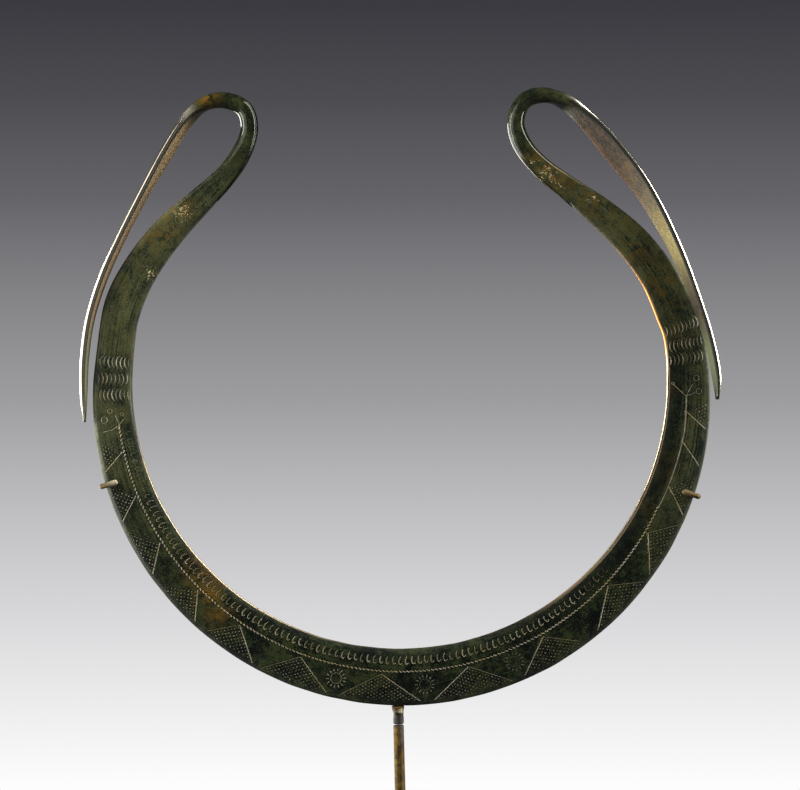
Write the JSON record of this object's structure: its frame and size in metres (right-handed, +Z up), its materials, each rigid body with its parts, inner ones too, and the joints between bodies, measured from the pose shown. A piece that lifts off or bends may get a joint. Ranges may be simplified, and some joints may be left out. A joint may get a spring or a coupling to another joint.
{
  "type": "bronze torc on display mount",
  "caption": "Open bronze neck-ring, crescent-shaped and flat with looped, pin-ended terminals, held upright on a brass rod with hooked arms and a low foot.",
  "frame": {"origin": "centre of the foot's underside, on the surface the mount stands on", "axes": "+Z up, +X to the viewer's right when facing the decorated side, which looks towards -Y"},
  "size_m": [0.1918, 0.064, 0.2462],
  "materials": {
    "bronze_patina": "old bronze under a dark olive-green patina, satin, rubbed bright along the edges",
    "mount_brass": "tarnished brass rod and wire, darker near the head",
    "foot_metal": "steel block in dark brown-black satin paint"
  },
  "bodies": {
    "root": {"torc": "bronze_patina", "support_rod": "mount_brass", "rod_seat": "mount_brass", "cradle_arm_left": "mount_brass", "cradle_arm_right": "mount_brass", "foot": "foot_metal"}
  },
  "joints": []
}
